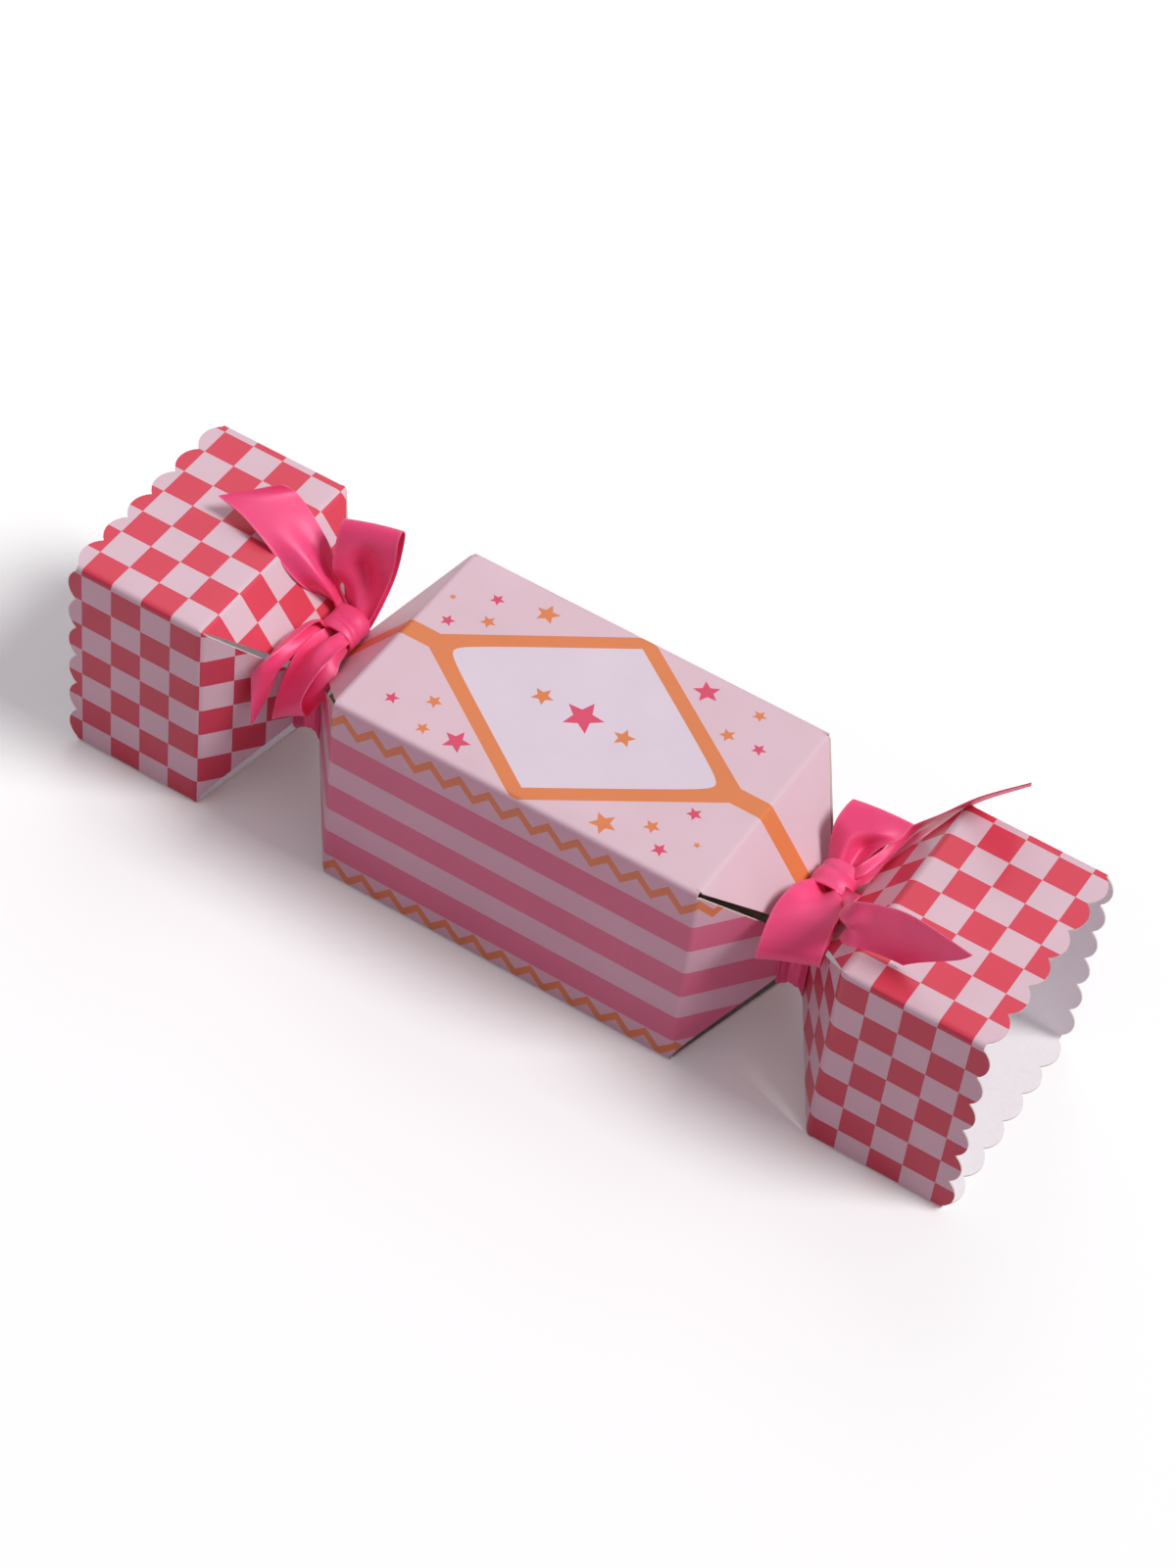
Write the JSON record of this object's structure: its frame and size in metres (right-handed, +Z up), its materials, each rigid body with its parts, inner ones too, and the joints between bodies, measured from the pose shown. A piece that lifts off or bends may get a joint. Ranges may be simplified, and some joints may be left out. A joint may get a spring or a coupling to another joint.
{
  "type": "christmas cracker",
  "caption": "Square card Christmas cracker, drawn in to a ribbon-tied neck near each scalloped open end; pulls apart at the necks.",
  "frame": {"origin": "on the surface the cracker lies on, under the middle of its body", "axes": "+X along the box to the end with the long tails of ribbon, -Y the front panel, +Z up"},
  "size_m": [0.2584, 0.0701, 0.0832],
  "materials": {
    "printed_card": "gloss-coated, pale pink print with orange and magenta motifs",
    "striped_card": "gloss-coated, pink stripes",
    "checked_card": "gloss-coated, red and pale pink checks",
    "satin_ribbon": "satin",
    "snap_card": "matt",
    "snap_charge": "matt",
    "snap_abrasive": "gritty",
    "snap_paper": "matt",
    "tissue_paper": "matt",
    "motto_paper": "matt",
    "turned_wood": "satin varnish"
  },
  "bodies": {
    "box_body": {"body_sleeve": "printed_card", "paper_crown": "tissue_paper", "motto_roll": "motto_paper", "spinning_top": "turned_wood"},
    "left_end": {"end_sleeve_left": "checked_card", "ribbon_band_left": "satin_ribbon", "ribbon_knot_left": "satin_ribbon", "ribbon_loop_upper_left": "satin_ribbon", "ribbon_loop_lower_left": "satin_ribbon", "ribbon_tail_upper_left": "satin_ribbon", "ribbon_tail_lower_left": "satin_ribbon", "snap_strip_left": "snap_card", "snap_charge_patch": "snap_charge", "snap_sleeve": "snap_paper"},
    "right_end": {"end_sleeve_right": "checked_card", "ribbon_band_right": "satin_ribbon", "ribbon_knot_right": "satin_ribbon", "ribbon_loop_upper_right": "satin_ribbon", "ribbon_loop_lower_right": "satin_ribbon", "ribbon_tail_front_right": "satin_ribbon", "ribbon_tail_back_right": "satin_ribbon", "snap_strip_right": "snap_card", "snap_abrasive_patch": "snap_abrasive"},
    "flap_left_top": {"flap_left_top": "printed_card"},
    "flap_left_front": {"flap_left_front": "striped_card"},
    "flap_left_bottom": {"flap_left_bottom": "printed_card"},
    "flap_left_back": {"flap_left_back": "striped_card"},
    "flap_right_top": {"flap_right_top": "printed_card"},
    "flap_right_front": {"flap_right_front": "striped_card"},
    "flap_right_bottom": {"flap_right_bottom": "printed_card"},
    "flap_right_back": {"flap_right_back": "striped_card"}
  },
  "joints": [
    {"name": "left_pull", "type": "slide", "parent": "box_body", "child": "left_end", "axis": [-1, 0, 0], "range_m": [0, 0.09]},
    {"name": "right_pull", "type": "slide", "parent": "box_body", "child": "right_end", "axis": [1, 0, 0], "range_m": [0, 0.09]},
    {"name": "flap_left_top_fold", "type": "hinge", "parent": "box_body", "child": "flap_left_top", "pos_m": [-0.0508, 0, 0.06305], "axis": [0, 1, 0], "range_deg": [0, 51.8]},
    {"name": "flap_left_front_fold", "type": "hinge", "parent": "box_body", "child": "flap_left_front", "pos_m": [-0.0508, -0.0313, 0.03175], "axis": [0, 0, 1], "range_deg": [0, 51.8]},
    {"name": "flap_left_bottom_fold", "type": "hinge", "parent": "box_body", "child": "flap_left_bottom", "pos_m": [-0.0508, 0, 0.00045], "axis": [0, -1, 0], "range_deg": [0, 51.8]},
    {"name": "flap_left_back_fold", "type": "hinge", "parent": "box_body", "child": "flap_left_back", "pos_m": [-0.0508, 0.0313, 0.03175], "axis": [0, 0, -1], "range_deg": [0, 51.8]},
    {"name": "flap_right_top_fold", "type": "hinge", "parent": "box_body", "child": "flap_right_top", "pos_m": [0.0508, 0, 0.06305], "axis": [0, -1, 0], "range_deg": [0, 51.8]},
    {"name": "flap_right_front_fold", "type": "hinge", "parent": "box_body", "child": "flap_right_front", "pos_m": [0.0508, -0.0313, 0.03175], "axis": [0, 0, -1], "range_deg": [0, 51.8]},
    {"name": "flap_right_bottom_fold", "type": "hinge", "parent": "box_body", "child": "flap_right_bottom", "pos_m": [0.0508, 0, 0.00045], "axis": [0, 1, 0], "range_deg": [0, 51.8]},
    {"name": "flap_right_back_fold", "type": "hinge", "parent": "box_body", "child": "flap_right_back", "pos_m": [0.0508, 0.0313, 0.03175], "axis": [0, 0, 1], "range_deg": [0, 51.8]}
  ],
  "couplings": [
    {"joint": "flap_left_top_fold", "follows": "left_pull", "rad_per_m": 10},
    {"joint": "flap_left_front_fold", "follows": "left_pull", "rad_per_m": 10},
    {"joint": "flap_left_bottom_fold", "follows": "left_pull", "rad_per_m": 10},
    {"joint": "flap_left_back_fold", "follows": "left_pull", "rad_per_m": 10},
    {"joint": "flap_right_top_fold", "follows": "right_pull", "rad_per_m": 10},
    {"joint": "flap_right_front_fold", "follows": "right_pull", "rad_per_m": 10},
    {"joint": "flap_right_bottom_fold", "follows": "right_pull", "rad_per_m": 10},
    {"joint": "flap_right_back_fold", "follows": "right_pull", "rad_per_m": 10}
  ]
}
